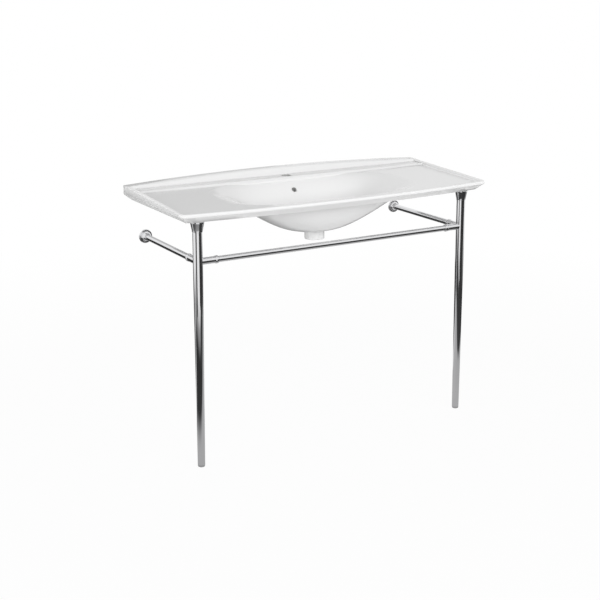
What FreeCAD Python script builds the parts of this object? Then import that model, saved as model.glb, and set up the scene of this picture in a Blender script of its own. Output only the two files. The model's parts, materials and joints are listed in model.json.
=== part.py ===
# Console sink: a wide glazed ceramic basin on two chromed front legs, joined by a front rail and
# carried back to the wall by two side rails.
# Millimetres. X runs across the basin, +Y points at the wall and Z is up. The origin is on the floor,
# below the middle of the basin's plan.

import FreeCAD, Part
import os
from math import atan2, cos, pi, sin, sqrt

V = FreeCAD.Vector
X_AXIS = V(1, 0, 0)
Y_AXIS = V(0, 1, 0)
Z_AXIS = V(0, 0, 1)

# ---- driving dimensions -----------------------------------------------------------------------

# basin, plan
BASIN_WIDTH = 1200.0
BASIN_DEPTH = 505.0
FRONT_BOW = 36.0
CORNER_RADIUS = 20.0

# basin, heights above the floor
RIM_BOTTOM_Z = 828.0
LIP_FRONT_Z = 859.0
LIP_BACK_Z = 881.0
ARCH_RISE = 18.0
DECK_FRONT_Z = 852.5
DECK_BACK_Z = 866.0
LEDGE_Z = 873.0

# basin, rim and back
FASCIA_HEIGHT = 22.0
FASCIA_INSET = 28.0
FASCIA_EDGE_RADIUS = 5.0
LIP_WIDTH = 13.0
LIP_DRAFT = 3.0
LIP_ROUND = 4.4
UPSTAND_FOOT = 44.0
UPSTAND_TOP = 26.0
LEDGE_FRONT = 97.0
LEDGE_STEP = 7.0
LEDGE_ROUND = 5.0
COVE_RADIUS = 5.0
DECK_COVE_RADIUS = 4.0

# bowl
BOWL_SIDE_MARGIN = 205.0
BOWL_FRONT_MARGIN = 45.0
BOWL_BACK_MARGIN = 80.0
BOWL_BOTTOM_Z = 728.0
BOWL_FLOOR_RADIUS = 45.0
BOWL_CORNER_POWER = 3.2
BOWL_SPARE_HEIGHT = 0.8
BOWL_POINTS = 24
BOWL_LEVELS = 8
CERAMIC_WALL = 12.0
DECK_THICKNESS = 14.0
RIM_WALL = 14.0

# holes and passages of the basin
TAP_HOLE_DIAMETER = 35.0
TAP_SETBACK = 70.0
OVERFLOW_DIAMETER = 20.0
OVERFLOW_SHARE = 0.66
DUCT_DIAMETER = 18.0
DUCT_WALL = 8.0
DUCT_DEPTH = 21.0
DUCT_DROP_Z = 722.0
DUCT_DROP_SETBACK = 144.0
DUCT_OUTLET_RISE = 17.0
DUCT_BEND = 16.0
DUCT_WEB = 16.0
DRAIN_BORE_DIAMETER = 46.0
DRAIN_SEAT_DIAMETER = 64.0
DRAIN_SEAT_DEPTH = 3.0
DRAIN_BOSS_DIAMETER = 70.0
DRAIN_BOSS_Z = 680.0

# wall fixing of the basin
APRON_SIDE_MARGIN = 160.0
APRON_THICKNESS = 22.0
APRON_BOTTOM_Z = 768.0
APRON_CORNER = 24.0
WALL_BOLT_MARGIN = 30.0
WALL_BOLT_DIAMETER = 14.0
WALL_BOLT_Z = 800.0

# legs
LEG_SIDE_MARGIN = 76.0
LEG_FRONT_MARGIN = 82.5
LEG_DIAMETER = 31.8
LEG_FOOT_DIAMETER = 24.5
LEG_WALL = 1.5
LEG_TAPER_Z = 655.0
LEG_PAD_RADIUS = 34.0

# cup, pad, stud and nut at the top of a leg
CUP_HEIGHT = 35.0
CUP_MOUTH_DIAMETER = 46.0
CUP_NECK_DIAMETER = 34.4
CUP_SKIRT = 25.0
CUP_BEAD = 3.0
CUP_FLARE_SHARE = 0.3
CUP_WEB = 5.0
CUP_POCKET_DIAMETER = 34.0
CUP_PAD_THICKNESS = 2.0
CUP_PAD_DIAMETER = 42.0
STUD_DIAMETER = 10.0
STUD_ABOVE_RIM = 8.0
STUD_HOLE_DIAMETER = 14.0
NUT_ACROSS_FLATS = 16.0
NUT_HEIGHT = 4.0
TOP_INSERT_LENGTH = 24.0

# levelling foot
FOOT_DISC_THICKNESS = 3.5
FOOT_DISC_DIAMETER = 24.2
GLIDE_THICKNESS = 2.0
GLIDE_DIAMETER = 22.0
FOOT_STEM_DIAMETER = 8.0
FOOT_STEM_LENGTH = 42.0
BOTTOM_INSERT_LENGTH = 20.0

# rails, sockets and bead rings
RAIL_Z = 694.0
RAIL_DIAMETER = 20.0
RAIL_WALL = 1.2
SOCKET_DIAMETER = 22.6
SOCKET_REACH = 72.0
SOCKET_BOTTOM = 24.0
SOCKET_CHAMFER = 0.4
RING_DIAMETER = 26.4
RING_LENGTH = 11.5
RING_CENTRE = 65.5
GRUB_DIAMETER = 4.0
GRUB_KEY_DIAMETER = 2.0
GRUB_KEY_DEPTH = 1.4

# wall anchor and its cover flange
ANCHOR_DIAMETER = 42.0
ANCHOR_THICKNESS = 3.0
SPIGOT_DIAMETER = 17.2
SPIGOT_LENGTH = 30.0
ANCHOR_HOLE_SPACING = 30.0
ANCHOR_HOLE_DIAMETER = 4.5
ANCHOR_SINK_DIAMETER = 8.0
FLANGE_DIAMETER = 48.0
FLANGE_RIM = 5.0
FLANGE_DOME_DIAMETER = 35.0
FLANGE_NOSE_DIAMETER = 24.0
FLANGE_DEPTH = 21.0
FLANGE_WALL = 1.5

# clearances
SLIDE_CLEARANCE = 0.15
FIT_CLEARANCE = 0.05
SEAT_GAP = 0.3
PLAY = 1.0
BLANK_SPARE = 40.0

# ---- places worked out from the driving dimensions -----------------------------------------------

WALL_Y = BASIN_DEPTH / 2
FRONT_Y = -BASIN_DEPTH / 2
HALF_WIDTH = BASIN_WIDTH / 2
BOW_RADIUS = (HALF_WIDTH ** 2 + FRONT_BOW ** 2) / (2 * FRONT_BOW)
BOW_CENTRE_Y = FRONT_Y + BOW_RADIUS
SIDE_FRONT_Y = FRONT_Y + FRONT_BOW
FASCIA_TOP_Z = RIM_BOTTOM_Z + FASCIA_HEIGHT
ARCH_TOP_Z = LIP_BACK_Z + ARCH_RISE
BLANK_TOP_Z = ARCH_TOP_Z + BLANK_SPARE
FAR = BASIN_WIDTH

LEDGE_FRONT_Y = WALL_Y - LEDGE_FRONT
STEP_FOOT_Y = LEDGE_FRONT_Y - LEDGE_STEP
DECK_SLOPE = (DECK_BACK_Z - DECK_FRONT_Z) / (STEP_FOOT_Y - SIDE_FRONT_Y)
BOWL_HALF_WIDTH = HALF_WIDTH - BOWL_SIDE_MARGIN
BOWL_HALF_DEPTH = (BASIN_DEPTH - BOWL_FRONT_MARGIN - BOWL_BACK_MARGIN) / 2
BOWL_Y = WALL_Y - BOWL_BACK_MARGIN - BOWL_HALF_DEPTH
BOWL_RIM_Z = DECK_FRONT_Z + DECK_SLOPE * (BOWL_Y - SIDE_FRONT_Y)
BOWL_DEPTH = BOWL_RIM_Z - BOWL_BOTTOM_Z

APRON_WIDTH = BASIN_WIDTH - 2 * APRON_SIDE_MARGIN
WALL_BOLT_SPACING = APRON_WIDTH - 2 * WALL_BOLT_MARGIN

LEG_SPACING = BASIN_WIDTH - 2 * LEG_SIDE_MARGIN
LEG_Y = FRONT_Y + LEG_FRONT_MARGIN
LEG_SETBACK = WALL_Y - LEG_Y
CUP_TOP_Z = RIM_BOTTOM_Z - CUP_PAD_THICKNESS
CUP_BOTTOM_Z = CUP_TOP_Z - CUP_HEIGHT
TUBE_TOP_Z = CUP_BOTTOM_Z + CUP_SKIRT
TUBE_BOTTOM_Z = GLIDE_THICKNESS + FOOT_DISC_THICKNESS + SEAT_GAP
RAIL_END = SOCKET_BOTTOM + PLAY
SIDES = {"left": -1, "right": 1}


# ---- small helpers -------------------------------------------------------------------------------


def polygon_face(points):
    """Flat face with straight edges through points."""
    return Part.Face(Part.makePolygon(points + [points[0]]))


def prism_x(yz_points, half_length):
    """Prism along X, both ways from the middle, with a straight-edged YZ section."""
    face = polygon_face([V(-half_length, y, z) for y, z in yz_points])
    return face.extrude(X_AXIS * (2 * half_length))


def cylinder(diameter, low, high, centre=V(0, 0, 0), direction=Z_AXIS):
    """Cylinder from low to high along direction, measured from centre."""
    return Part.makeCylinder(diameter / 2, high - low, centre + direction * low, direction)


def turned(profile):
    """Solid of revolution about Z. A profile entry is (r, z), or ((r, z), (r, z)) for an arc
    through the first point to the second."""
    edges = []
    start = V(profile[0][0], 0, profile[0][1])
    last = start
    for entry in profile[1:]:
        if isinstance(entry[0], tuple):
            middle = V(entry[0][0], 0, entry[0][1])
            end = V(entry[1][0], 0, entry[1][1])
            edges.append(Part.Arc(last, middle, end).toShape())
        else:
            end = V(entry[0], 0, entry[1])
            edges.append(Part.LineSegment(last, end).toShape())
        last = end
    edges.append(Part.LineSegment(last, start).toShape())
    return Part.Face(Part.Wire(edges)).revolve(V(0, 0, 0), Z_AXIS, 360)


def laid(shape, place, direction):
    """A shape made along +Z, turned to point along direction with its origin moved to place."""
    turn = FreeCAD.Rotation(Z_AXIS, direction)
    moved = shape.copy()
    moved.Placement = FreeCAD.Placement(place, turn)
    return moved


def rounded_path(points, radius):
    """Wire of straight runs through points, with an arc of one radius at each inner corner."""
    edges = []
    last = points[0]
    for before, corner, after in zip(points, points[1:], points[2:]):
        back = (before - corner).normalize()
        ahead = (after - corner).normalize()
        half_turn = (pi - back.getAngle(ahead)) / 2
        trim = radius * sin(half_turn) / cos(half_turn)
        entry = corner + back * trim
        leave = corner + ahead * trim
        bisector = (back + ahead).normalize()
        middle = corner + bisector * (radius / cos(half_turn) - radius)
        edges.append(Part.LineSegment(last, entry).toShape())
        edges.append(Part.Arc(entry, middle, leave).toShape())
        last = leave
    edges.append(Part.LineSegment(last, points[-1]).toShape())
    return Part.Wire(edges)


def pipe(path, diameter):
    """Round bar along a path, with its section square to the path's start."""
    start = path.OrderedEdges[0]
    heading = start.tangentAt(start.FirstParameter)
    section = Part.Wire(Part.Circle(start.valueAt(start.FirstParameter), heading, diameter / 2).toShape())
    return path.makePipeShell([section], True, False)


def fillet_where(shape, radius, test):
    """Fillet every edge of shape whose middle point and edge pass the test."""
    chosen = []
    for edge in shape.Edges:
        middle = edge.valueAt((edge.FirstParameter + edge.LastParameter) / 2)
        if test(middle, edge):
            chosen.append(edge)
    return shape.makeFillet(radius, chosen)


# ---- basin: rim ----------------------------------------------------------------------------------


def plan_outline(inset, height, back_y=WALL_Y):
    """Closed plan wire of the rim: bowed front, round front corners, straight sides and back."""
    half = HALF_WIDTH - inset
    bow = BOW_RADIUS - inset
    corner = max(CORNER_RADIUS - inset, FASCIA_EDGE_RADIUS)
    corner_x = half - corner
    reach = bow - corner
    corner_y = BOW_CENTRE_Y - sqrt(reach ** 2 - corner_x ** 2)
    tangent_x = corner_x * bow / reach
    tangent_y = BOW_CENTRE_Y + (corner_y - BOW_CENTRE_Y) * bow / reach
    turn = atan2(corner_y - BOW_CENTRE_Y, corner_x) / 2
    middle_x = corner_x + corner * cos(turn)
    middle_y = corner_y + corner * sin(turn)
    right = [
        V(half, back_y, height),
        V(half, corner_y, height),
        V(middle_x, middle_y, height),
        V(tangent_x, tangent_y, height),
    ]
    left = [V(-point.x, point.y, height) for point in right]
    nose = V(0, FRONT_Y + inset, height)
    edges = [
        Part.LineSegment(right[0], right[1]).toShape(),
        Part.Arc(right[1], right[2], right[3]).toShape(),
        Part.Arc(right[3], nose, left[3]).toShape(),
        Part.Arc(left[3], left[2], left[1]).toShape(),
        Part.LineSegment(left[1], left[0]).toShape(),
        Part.LineSegment(left[0], right[0]).toShape(),
    ]
    return Part.Wire(edges)


def deck_z(y):
    """Height of the sloping deck at a place between front and back."""
    return DECK_FRONT_Z + DECK_SLOPE * (y - SIDE_FRONT_Y)


def rim_blank():
    """Outer body of the rim: slanting fascia below, upright lip above, taller than the finished rim."""
    sections = [
        plan_outline(FASCIA_INSET, RIM_BOTTOM_Z),
        plan_outline(0, FASCIA_TOP_Z),
        plan_outline(0, BLANK_TOP_Z),
    ]
    blank = Part.makeLoft(sections, True, True)

    def widest(middle, edge):
        return abs(middle.z - FASCIA_TOP_Z) < FIT_CLEARANCE and middle.y < WALL_Y - PLAY

    return fillet_where(blank, FASCIA_EDGE_RADIUS, widest)


def upstand_y(z):
    """Place of the upstand's leaning front face at a height."""
    lean = (UPSTAND_FOOT - UPSTAND_TOP) / (ARCH_TOP_Z - LEDGE_Z)
    return WALL_Y - UPSTAND_FOOT + lean * (z - LEDGE_Z)


def above_deck():
    """Everything above the plane of the sloping deck."""
    return prism_x([(-FAR, deck_z(-FAR)), (FAR, deck_z(FAR)), (-FAR, FAR + deck_z(FAR))], FAR)


def above_lips():
    """Space above the side and front lips, whose tops fall towards the front."""
    top_z = BLANK_TOP_Z + FAR
    profile = [
        (FRONT_Y - PLAY, LIP_FRONT_Z),
        (upstand_y(LIP_BACK_Z), LIP_BACK_Z),
        (upstand_y(BLANK_TOP_Z), BLANK_TOP_Z),
        (upstand_y(BLANK_TOP_Z), top_z),
        (FRONT_Y - PLAY, top_z),
    ]
    return prism_x(profile, FAR)


def above_arch():
    """Space above the arched top of the upstand."""
    y = upstand_y(LIP_BACK_Z)
    ends = [V(-HALF_WIDTH, y, LIP_BACK_Z), V(HALF_WIDTH, y, LIP_BACK_Z)]
    arch = Part.Arc(ends[0], V(0, y, ARCH_TOP_Z), ends[1]).toShape()
    rest = Part.makePolygon([
        ends[1],
        V(FAR, y, LIP_BACK_Z),
        V(FAR, y, BLANK_TOP_Z + FAR),
        V(-FAR, y, BLANK_TOP_Z + FAR),
        V(-FAR, y, LIP_BACK_Z),
        ends[0],
    ])
    face = Part.Face(Part.Wire([arch] + rest.Edges))
    return face.extrude(Y_AXIS * FAR)


def rim_recess():
    """Space inside the lips: sloping deck in front, step, flat tap ledge and leaning upstand behind."""
    draft = LIP_DRAFT / 2
    walls = Part.makeLoft([
        plan_outline(LIP_WIDTH + draft, DECK_FRONT_Z - PLAY),
        plan_outline(LIP_WIDTH - draft, BLANK_TOP_Z + PLAY),
    ], True, True)
    profile = [
        (FRONT_Y, deck_z(FRONT_Y)),
        (STEP_FOOT_Y, DECK_BACK_Z),
        (LEDGE_FRONT_Y, LEDGE_Z),
        (upstand_y(LEDGE_Z), LEDGE_Z),
        (upstand_y(BLANK_TOP_Z), BLANK_TOP_Z),
        (FRONT_Y, BLANK_TOP_Z),
    ]
    return walls.common(prism_x(profile, FAR))


def lip_share(y):
    """How far back along the lips a place is, from 0 at the front to 1 at the upstand."""
    return (y - FRONT_Y) / (upstand_y(LIP_BACK_Z) - FRONT_Y)


def lip_edge(middle, edge):
    """Top edges of the side and front lips, outer and inner."""
    top_z = LIP_FRONT_Z + lip_share(middle.y) * (LIP_BACK_Z - LIP_FRONT_Z)
    return middle.y < upstand_y(LEDGE_Z) and abs(middle.z - top_z) < SEAT_GAP


def upper_rim():
    """Everything of the rim above the deck's plane: lips, tap ledge and upstand, with soft edges."""
    rim = rim_blank().common(above_deck())
    rim = rim.cut(above_lips()).cut(above_arch()).cut(rim_recess()).removeSplitter()

    def ledge_front(middle, edge):
        return abs(middle.z - LEDGE_Z) < SEAT_GAP and abs(middle.y - LEDGE_FRONT_Y) < SEAT_GAP

    def upstand_foot(middle, edge):
        beside = abs(middle.y - upstand_y(LEDGE_Z)) < SEAT_GAP
        return beside and abs(middle.z - LEDGE_Z) < SEAT_GAP and edge.Length > HALF_WIDTH

    rim = fillet_where(rim, LIP_ROUND, lip_edge)
    rim = fillet_where(rim, LEDGE_ROUND, ledge_front)
    return fillet_where(rim, COVE_RADIUS, upstand_foot)


def underside_hollow():
    """Space under the deck, inside the fascia, in front of the back wall and clear of the leg pads."""
    back_y = WALL_Y - APRON_THICKNESS
    walls = Part.makeLoft([
        plan_outline(FASCIA_INSET + RIM_WALL, RIM_BOTTOM_Z, back_y),
        plan_outline(RIM_WALL, FASCIA_TOP_Z, back_y),
        plan_outline(RIM_WALL, BLANK_TOP_Z, back_y),
    ], True, True)
    ceiling = [
        (FRONT_Y, deck_z(FRONT_Y) - DECK_THICKNESS),
        (WALL_Y, deck_z(WALL_Y) - DECK_THICKNESS),
        (WALL_Y, RIM_BOTTOM_Z),
        (FRONT_Y, RIM_BOTTOM_Z),
    ]
    hollow = walls.common(prism_x(ceiling, FAR))
    for side in SIDES.values():
        place = V(side * LEG_SPACING / 2, LEG_Y, 0)
        hollow = hollow.cut(cylinder(2 * LEG_PAD_RADIUS, RIM_BOTTOM_Z, BLANK_TOP_Z, place))
    return hollow


# ---- basin: bowl, drain and overflow -------------------------------------------------------------


def bowl_rise(t):
    """Share of the bowl's depth reached at t, from 0 at the floor to 1 at the rim."""
    return (1 - cos(pi * t)) / 2


def bowl_section(t, swell, drop):
    """Level ring of the bowl: a circle at the floor that squares up and tilts to the deck at the rim."""
    half_x = BOWL_FLOOR_RADIUS + (BOWL_HALF_WIDTH - BOWL_FLOOR_RADIUS) * t + swell
    half_y = BOWL_FLOOR_RADIUS + (BOWL_HALF_DEPTH - BOWL_FLOOR_RADIUS) * t + swell
    power = 2 + (BOWL_CORNER_POWER - 2) * min(1, 2 * t)
    z = BOWL_BOTTOM_Z + BOWL_DEPTH * bowl_rise(t) + BOWL_SPARE_HEIGHT * t - drop
    tilt = DECK_SLOPE * bowl_rise(t)
    points = []
    for step in range(BOWL_POINTS):
        angle = 2 * pi * step / BOWL_POINTS
        c = cos(angle)
        s = sin(angle)
        reach = (abs(c) ** power + abs(s) ** power) ** (-1 / power)
        y = half_y * reach * s
        points.append(V(half_x * reach * c, BOWL_Y + y, z + tilt * y))
    curve = Part.BSplineCurve()
    curve.interpolate(points, PeriodicFlag=True)
    return Part.Wire(curve.toShape())


def bowl_form(swell, drop):
    """Lofted bowl, from its floor to its rim."""
    sections = [bowl_section(n / BOWL_LEVELS, swell, drop) for n in range(BOWL_LEVELS + 1)]
    return Part.makeLoft(sections, True, False)


def ledge_filler():
    """Block behind the foot of the ledge's step that closes the bowl's back under the ledge."""
    back_y = BOWL_Y + BOWL_HALF_DEPTH + PLAY
    low_z = deck_z(STEP_FOOT_Y) - DECK_THICKNESS
    profile = [
        (STEP_FOOT_Y, low_z),
        (back_y, low_z),
        (back_y, deck_z(back_y)),
        (STEP_FOOT_Y, deck_z(STEP_FOOT_Y)),
    ]
    return prism_x(profile, BOWL_HALF_WIDTH)


def overflow_point():
    """Centre of the overflow hole on the bowl's back wall, and the direction into the wall."""
    t = OVERFLOW_SHARE
    half_y = BOWL_FLOOR_RADIUS + (BOWL_HALF_DEPTH - BOWL_FLOOR_RADIUS) * t
    tilt = DECK_SLOPE * bowl_rise(t)
    z = BOWL_BOTTOM_Z + BOWL_DEPTH * bowl_rise(t) + BOWL_SPARE_HEIGHT * t + tilt * half_y
    climb = BOWL_DEPTH * pi / 2 * sin(pi * t) / (BOWL_HALF_DEPTH - BOWL_FLOOR_RADIUS) + tilt
    into = V(0, climb, -1).normalize()
    return V(0, BOWL_Y + half_y, z), into


def duct_path():
    """Centre line of the overflow duct, from inside the bowl to inside the drain bore."""
    mouth, into = overflow_point()
    return rounded_path([
        mouth - into * (OVERFLOW_DIAMETER / 2),
        mouth + into * DUCT_DEPTH,
        V(0, WALL_Y - DUCT_DROP_SETBACK, DUCT_DROP_Z),
        V(0, BOWL_Y, DRAIN_BOSS_Z + DUCT_OUTLET_RISE),
    ], DUCT_BEND)


def duct_casting():
    """Outside of the overflow duct, with the web that joins it to the bowl."""
    mouth, into = overflow_point()
    tube = pipe(duct_path(), DUCT_DIAMETER + 2 * DUCT_WALL)
    outer = mouth + into * DUCT_DEPTH
    web = prism_x([
        (mouth.y, mouth.z),
        (outer.y, outer.z),
        (WALL_Y - DUCT_DROP_SETBACK, DUCT_DROP_Z),
        (BOWL_Y, DRAIN_BOSS_Z + DUCT_OUTLET_RISE),
        (BOWL_Y, BOWL_BOTTOM_Z),
    ], DUCT_WEB / 2)
    return tube.fuse(web)


def drain_boss():
    """Plain round boss under the bowl that takes the waste."""
    return cylinder(DRAIN_BOSS_DIAMETER, DRAIN_BOSS_Z, BOWL_BOTTOM_Z, V(0, BOWL_Y, 0))


def drain_bore():
    """Hole for the waste, with the sloping seat for its flange in the bowl's floor."""
    bore = cylinder(DRAIN_BORE_DIAMETER, DRAIN_BOSS_Z - PLAY, BOWL_BOTTOM_Z + PLAY, V(0, BOWL_Y, 0))
    seat = Part.makeCone(
        DRAIN_BORE_DIAMETER / 2,
        DRAIN_SEAT_DIAMETER / 2,
        DRAIN_SEAT_DEPTH,
        V(0, BOWL_Y, BOWL_BOTTOM_Z - DRAIN_SEAT_DEPTH),
    )
    return bore.fuse(seat)


# ---- basin: back wall and the whole casting ------------------------------------------------------


def apron():
    """Flat back wall below the rim, with rounded lower corners."""
    top_z = deck_z(WALL_Y) - DECK_THICKNESS
    block = Part.makeBox(
        APRON_WIDTH,
        APRON_THICKNESS,
        top_z - APRON_BOTTOM_Z,
        V(-APRON_WIDTH / 2, WALL_Y - APRON_THICKNESS, APRON_BOTTOM_Z),
    )

    def lower_corner(middle, edge):
        upright = abs(edge.tangentAt(edge.FirstParameter).y) > 0.99
        return upright and middle.z < APRON_BOTTOM_Z + PLAY

    return fillet_where(block, APRON_CORNER, lower_corner)


def leg_stud_holes():
    """Blind holes in the leg pads that take the tips of the cup studs."""
    depth = STUD_ABOVE_RIM + PLAY
    holes = []
    for side in SIDES.values():
        place = V(side * LEG_SPACING / 2, LEG_Y, RIM_BOTTOM_Z)
        holes.append(cylinder(STUD_HOLE_DIAMETER, -PLAY, depth, place))
    return holes


def wall_bolt_holes():
    """Holes through the back wall for the two wall bolts."""
    holes = []
    for side in SIDES.values():
        place = V(side * WALL_BOLT_SPACING / 2, WALL_Y, WALL_BOLT_Z)
        holes.append(cylinder(WALL_BOLT_DIAMETER, -APRON_THICKNESS - PLAY, PLAY, place, Y_AXIS))
    return holes


def tap_hole():
    """Hole through the tap ledge."""
    place = V(0, WALL_Y - TAP_SETBACK, 0)
    return cylinder(TAP_HOLE_DIAMETER, RIM_BOTTOM_Z, BLANK_TOP_Z, place)


def lower_rim():
    """The rim up to the deck's plane, hollow underneath."""
    return rim_blank().cut(above_deck()).cut(underside_hollow())


def deck_foot(middle, edge):
    """Edges where the side and front lips stand on the deck."""
    inside = abs(middle.x) < HALF_WIDTH - LIP_WIDTH / 2 and middle.y < STEP_FOOT_Y - PLAY
    beside_lips = abs(middle.x) > HALF_WIDTH - CORNER_RADIUS or middle.y < SIDE_FRONT_Y
    on_deck = abs(middle.z - deck_z(middle.y)) < FIT_CLEARANCE
    return inside and beside_lips and on_deck


def basin():
    """The ceramic casting: rim, bowl, drain boss, overflow duct and back wall."""
    body = lower_rim()
    body = body.fuse([bowl_form(CERAMIC_WALL, CERAMIC_WALL), drain_boss(), duct_casting(), apron()])
    body = body.cut(bowl_form(0, 0))
    body = body.cut([drain_bore(), pipe(duct_path(), DUCT_DIAMETER)])
    body = body.fuse([upper_rim(), ledge_filler()]).removeSplitter()
    body = fillet_where(body, DECK_COVE_RADIUS, deck_foot)
    return body.cut([tap_hole()] + leg_stud_holes() + wall_bolt_holes())


# ---- legs ----------------------------------------------------------------------------------------


def leg_tube():
    """Leg tube: straight down to just under the rails, then tapering to the floor."""
    top = LEG_DIAMETER / 2
    foot = LEG_FOOT_DIAMETER / 2
    return turned([
        (foot, TUBE_BOTTOM_Z),
        (top, LEG_TAPER_Z),
        (top, TUBE_TOP_Z),
        (top - LEG_WALL, TUBE_TOP_Z),
        (top - LEG_WALL, LEG_TAPER_Z),
        (foot - LEG_WALL, TUBE_BOTTOM_Z),
    ])


def leg_cup():
    """Flared cup: its skirt fits over the tube, and its web is clamped by the stud's nut."""
    neck = CUP_NECK_DIAMETER / 2
    mouth = CUP_MOUTH_DIAMETER / 2
    bore = LEG_DIAMETER / 2 + FIT_CLEARANCE
    pocket = CUP_POCKET_DIAMETER / 2
    hole = STUD_DIAMETER / 2 + SLIDE_CLEARANCE
    web_z = TUBE_TOP_Z + CUP_WEB
    flare = CUP_BOTTOM_Z + CUP_BEAD
    lip = CUP_TOP_Z - 2 * CUP_BEAD
    waist = (neck + CUP_FLARE_SHARE * (mouth - neck), (flare + lip) / 2)
    return turned([
        (bore, CUP_BOTTOM_Z),
        (neck, CUP_BOTTOM_Z),
        (neck, flare),
        (waist, (mouth - CUP_BEAD / 3, lip)),
        ((mouth, lip + CUP_BEAD), (mouth - CUP_BEAD / 3, CUP_TOP_Z)),
        (pocket, CUP_TOP_Z),
        (pocket, web_z),
        (hole, web_z),
        (hole, TUBE_TOP_Z),
        (bore, TUBE_TOP_Z),
    ])


def cup_pad():
    """Soft washer between the cup and the glazed rim."""
    hole = cylinder(STUD_HOLE_DIAMETER, CUP_TOP_Z, RIM_BOTTOM_Z)
    return cylinder(CUP_PAD_DIAMETER, CUP_TOP_Z, RIM_BOTTOM_Z).cut(hole)


def cup_stud():
    """Stud from the leg's top insert, through the cup, into the blind hole of the rim."""
    low = TUBE_TOP_Z - TOP_INSERT_LENGTH
    stud = cylinder(STUD_DIAMETER, low, RIM_BOTTOM_Z + STUD_ABOVE_RIM)
    return stud.makeChamfer(PLAY, [edge for edge in stud.Edges if len(edge.Vertexes) == 1])


def cup_nut():
    """Hexagon nut that clamps the cup's web on the tube's end."""
    low = TUBE_TOP_Z + CUP_WEB
    corner = NUT_ACROSS_FLATS / sqrt(3)
    corners = [V(corner * cos(n * pi / 3), corner * sin(n * pi / 3), low) for n in range(6)]
    blank = polygon_face(corners).extrude(Z_AXIS * NUT_HEIGHT)
    return blank.cut(cylinder(STUD_DIAMETER + 2 * FIT_CLEARANCE, low, low + NUT_HEIGHT))


def top_insert():
    """Threaded plug in the top of the tube."""
    low = TUBE_TOP_Z - TOP_INSERT_LENGTH
    outside = LEG_DIAMETER - 2 * (LEG_WALL + FIT_CLEARANCE)
    plug = cylinder(outside, low, TUBE_TOP_Z)
    return plug.cut(cylinder(STUD_DIAMETER + 2 * FIT_CLEARANCE, low, TUBE_TOP_Z))


def bottom_insert():
    """Threaded plug in the foot of the tube, for the levelling stem."""
    high = TUBE_BOTTOM_Z + BOTTOM_INSERT_LENGTH
    outside = LEG_FOOT_DIAMETER - 2 * (LEG_WALL + FIT_CLEARANCE)
    plug = cylinder(outside, TUBE_BOTTOM_Z, high)
    return plug.cut(cylinder(FOOT_STEM_DIAMETER + 2 * FIT_CLEARANCE, TUBE_BOTTOM_Z, high))


def levelling_foot():
    """Foot disc with its stem, which screws up into the leg."""
    top = GLIDE_THICKNESS + FOOT_DISC_THICKNESS
    disc = FOOT_DISC_DIAMETER / 2
    stem = FOOT_STEM_DIAMETER / 2
    round_off = FOOT_DISC_THICKNESS / 4
    return turned([
        (0, GLIDE_THICKNESS),
        (disc - round_off, GLIDE_THICKNESS),
        (disc, GLIDE_THICKNESS + round_off),
        (disc, top),
        (stem, top),
        (stem, top + FOOT_STEM_LENGTH - PLAY),
        (stem - PLAY, top + FOOT_STEM_LENGTH),
        (0, top + FOOT_STEM_LENGTH),
    ])


def foot_glide():
    """Soft disc under the levelling foot."""
    return cylinder(GLIDE_DIAMETER, 0, GLIDE_THICKNESS)


# ---- sockets, rails and wall ends ----------------------------------------------------------------


def socket():
    """Stub on a leg, along +Z from the leg's axis: saddled on the tube and bored for a rail."""
    stub = cylinder(SOCKET_DIAMETER, 0, SOCKET_REACH)
    stub = stub.makeChamfer(SOCKET_CHAMFER, [stub.Edges[0]])
    bore = cylinder(RAIL_DIAMETER + 2 * SLIDE_CLEARANCE, SOCKET_BOTTOM, SOCKET_REACH + PLAY)
    leg = cylinder(LEG_DIAMETER, -FAR, FAR, V(0, 0, 0), Y_AXIS)
    return stub.cut([bore, leg, grub_hole()])


def ring():
    """Bead ring round a socket's mouth, along +Z from the leg's axis."""
    bore = SOCKET_DIAMETER / 2 + FIT_CLEARANCE
    edge = sqrt(RING_DIAMETER ** 2 - RING_LENGTH ** 2) / 2
    low = RING_CENTRE - RING_LENGTH / 2
    high = RING_CENTRE + RING_LENGTH / 2
    bead = turned([
        (bore, low),
        (edge, low),
        ((RING_DIAMETER / 2, RING_CENTRE), (edge, high)),
        (bore, high),
    ])
    return bead.cut(grub_hole())


def grub_hole():
    """Tapped hole for the grub screw, through ring and socket, square to the socket's axis."""
    diameter = GRUB_DIAMETER + 2 * FIT_CLEARANCE
    return cylinder(diameter, RAIL_DIAMETER / 2, RING_DIAMETER, V(0, 0, RING_CENTRE), Y_AXIS)


def grub_screw():
    """Grub screw that bears on the rail, in the same place as its hole."""
    high = RING_DIAMETER / 2 - FIT_CLEARANCE
    place = V(0, 0, RING_CENTRE)
    screw = cylinder(GRUB_DIAMETER, RAIL_DIAMETER / 2, high, place, Y_AXIS)
    return screw.cut(cylinder(GRUB_KEY_DIAMETER, high - GRUB_KEY_DEPTH, high + PLAY, place, Y_AXIS))


def tube(length):
    """Plain rail tube along +Z."""
    inside = cylinder(RAIL_DIAMETER - 2 * RAIL_WALL, -PLAY, length + PLAY)
    return cylinder(RAIL_DIAMETER, 0, length).cut(inside)


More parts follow.
